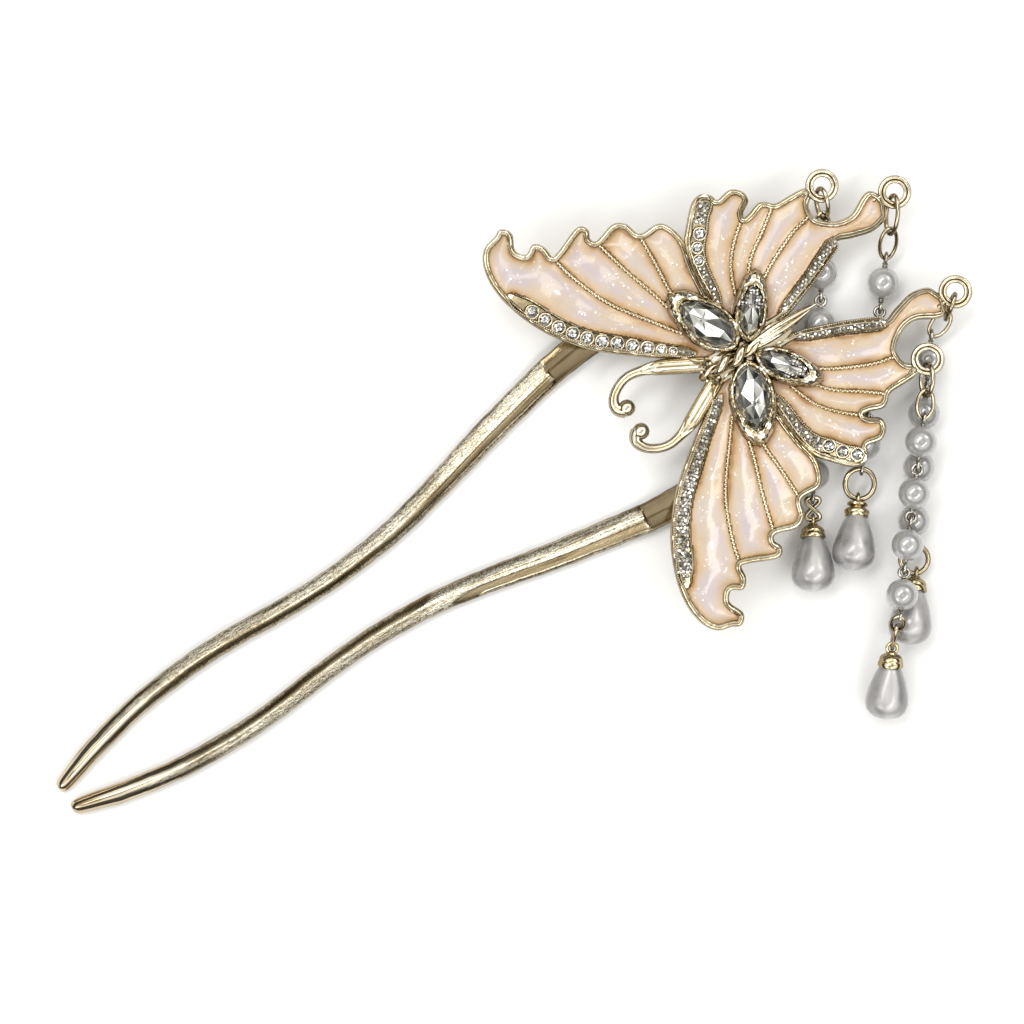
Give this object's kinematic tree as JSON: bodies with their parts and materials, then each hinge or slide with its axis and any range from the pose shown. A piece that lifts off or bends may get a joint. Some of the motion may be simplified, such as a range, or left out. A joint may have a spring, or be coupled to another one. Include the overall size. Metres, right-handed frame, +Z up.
{
  "type": "u-shaped hairpin",
  "caption": "Two-pronged wavy hair fork with an enamelled butterfly head, set stones and hanging pearl strands, lying flat as when laid on a table.",
  "frame": {"origin": "grip point of the fork: on its axis, midway between the two prongs where the hair is held, at the level the fork rests on", "axes": "+X from the grip point towards the butterfly head, the prong tips at -X; +Y across the prongs to the left; +Z up from the flat underside of the fork to the enamelled face"},
  "size_m": [0.1496, 0.0891, 0.0125],
  "materials": {
    "gold_metal": "polished pale gold plating",
    "link_metal": "polished pale gold wire",
    "cap_metal": "polished yellow gold plating",
    "wing_enamel": "glossy peach and lilac pearl enamel with fine glitter",
    "clear_rhinestone": "brilliant cut, foiled back",
    "smoky_crystal": "smoky cut stone, foiled back",
    "round_pearl": "pearl lustre",
    "drop_pearl": "satin pearl lustre"
  },
  "bodies": {
    "root": {"fork": "gold_metal", "butterfly_frame": "gold_metal", "enamel_forewing_a": "wing_enamel", "enamel_hindwing_a": "wing_enamel", "enamel_forewing_b": "wing_enamel", "enamel_hindwing_b": "wing_enamel", "stones_forewing_a": "clear_rhinestone", "stones_hindwing_a": "clear_rhinestone", "stones_forewing_b": "clear_rhinestone", "stones_hindwing_b": "clear_rhinestone", "crystal_large_a": "smoky_crystal", "crystal_small_a": "smoky_crystal", "crystal_large_b": "smoky_crystal", "crystal_small_b": "smoky_crystal", "links_1": "link_metal", "cap_1": "cap_metal", "drop_1": "drop_pearl", "links_2": "link_metal", "cap_2": "cap_metal", "drop_2": "drop_pearl", "links_3": "link_metal", "cap_3": "cap_metal", "drop_3": "drop_pearl", "links_4": "link_metal", "cap_4": "cap_metal", "drop_4": "drop_pearl", "pearl_1_1": "round_pearl", "pearl_1_2": "round_pearl", "pearl_1_3": "round_pearl", "pearl_1_4": "round_pearl", "pearl_1_5": "round_pearl", "pearl_2_1": "round_pearl", "pearl_2_2": "round_pearl", "pearl_2_3": "round_pearl", "pearl_2_4": "round_pearl", "pearl_3_1": "round_pearl", "pearl_3_2": "round_pearl", "pearl_3_3": "round_pearl", "pearl_3_4": "round_pearl", "pearl_4_1": "round_pearl", "pearl_4_2": "round_pearl", "pearl_4_3": "round_pearl", "pearl_4_4": "round_pearl"}
  },
  "joints": []
}
